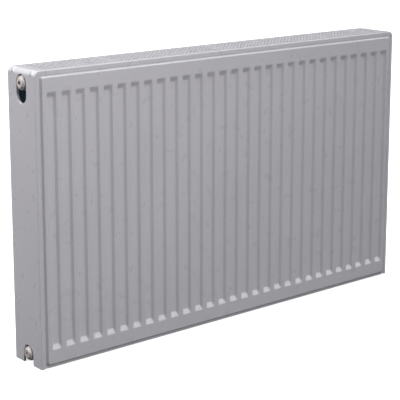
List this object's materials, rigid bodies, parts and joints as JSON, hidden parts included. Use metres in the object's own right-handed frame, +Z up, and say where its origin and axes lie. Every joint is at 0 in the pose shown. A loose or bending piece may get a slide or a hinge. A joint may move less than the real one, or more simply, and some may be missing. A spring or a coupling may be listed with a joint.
{
  "type": "panel radiator",
  "caption": "Steel double-panel radiator with fluted front, slotted top grille, side covers and air vent valve.",
  "frame": {"origin": "middle of the base, half way between the front and rear panels, on the floor", "axes": "+X along the length to the right seen from the room, +Y towards the wall, +Z up"},
  "size_m": [1.0071, 0.113, 0.6],
  "materials": {
    "white_enamel": "satin white powder coat",
    "grey_primer": "matt blue-grey dip primer",
    "spring_steel": "zinc-plated",
    "nickel_plate": "nickel-plated brass, satin",
    "brass": "turned brass",
    "nozzle_plastic": "moulded, matt",
    "seal_rubber": "matt black rubber"
  },
  "bodies": {
    "radiator": {"blanking_plug": "nickel_plate", "blanking_plug_seal": "seal_rubber", "front_convector": "grey_primer", "front_panel_inner_sheet": "grey_primer", "front_panel_outer_sheet": "white_enamel", "grille_bridges": "spring_steel", "left_cover_clips": "spring_steel", "lower_left_lug": "white_enamel", "lower_left_tee": "white_enamel", "lower_right_lug": "white_enamel", "lower_right_tee": "white_enamel", "rear_convector": "grey_primer", "rear_panel_inner_sheet": "grey_primer", "rear_panel_outer_sheet": "white_enamel", "right_cover_clips": "spring_steel", "upper_left_lug": "white_enamel", "upper_left_tee": "white_enamel", "upper_right_lug": "white_enamel", "upper_right_tee": "white_enamel", "vent_plug_body": "nickel_plate", "vent_plug_seal": "seal_rubber"},
    "vent_nozzle": {"vent_nozzle": "nozzle_plastic"},
    "vent_seal": {"vent_seal": "seal_rubber"},
    "vent_spindle": {"vent_spindle": "brass"},
    "top_grille": {"top_grille": "white_enamel"},
    "left_cover": {"left_side_cover": "white_enamel", "left_cover_hooks": "spring_steel"},
    "right_cover": {"right_side_cover": "white_enamel", "right_cover_hooks": "spring_steel"}
  },
  "joints": [
    {"name": "vent_nozzle_swivel", "type": "hinge", "parent": "radiator", "child": "vent_nozzle", "pos_m": [-0.504, 0, 0.572], "axis": [-1, 0, 0], "continuous": true},
    {"name": "vent_seal_travel", "type": "slide", "parent": "radiator", "child": "vent_seal", "axis": [-1, 0, 0], "range_m": [0, 0.0015]},
    {"name": "vent_spindle_turn", "type": "hinge", "parent": "vent_seal", "child": "vent_spindle", "pos_m": [-0.4975, 0, 0.572], "axis": [-1, 0, 0], "range_deg": [0, 540]},
    {"name": "grille_lift", "type": "slide", "parent": "radiator", "child": "top_grille", "axis": [0, 0, 1], "range_m": [0, 0.06]},
    {"name": "left_cover_lift", "type": "slide", "parent": "radiator", "child": "left_cover", "axis": [0, 0, 1], "range_m": [0, 0.023]},
    {"name": "right_cover_lift", "type": "slide", "parent": "radiator", "child": "right_cover", "axis": [0, 0, 1], "range_m": [0, 0.023]}
  ],
  "couplings": [
    {"joint": "vent_spindle_turn", "follows": "vent_seal_travel", "rad_per_m": 6283.2}
  ]
}
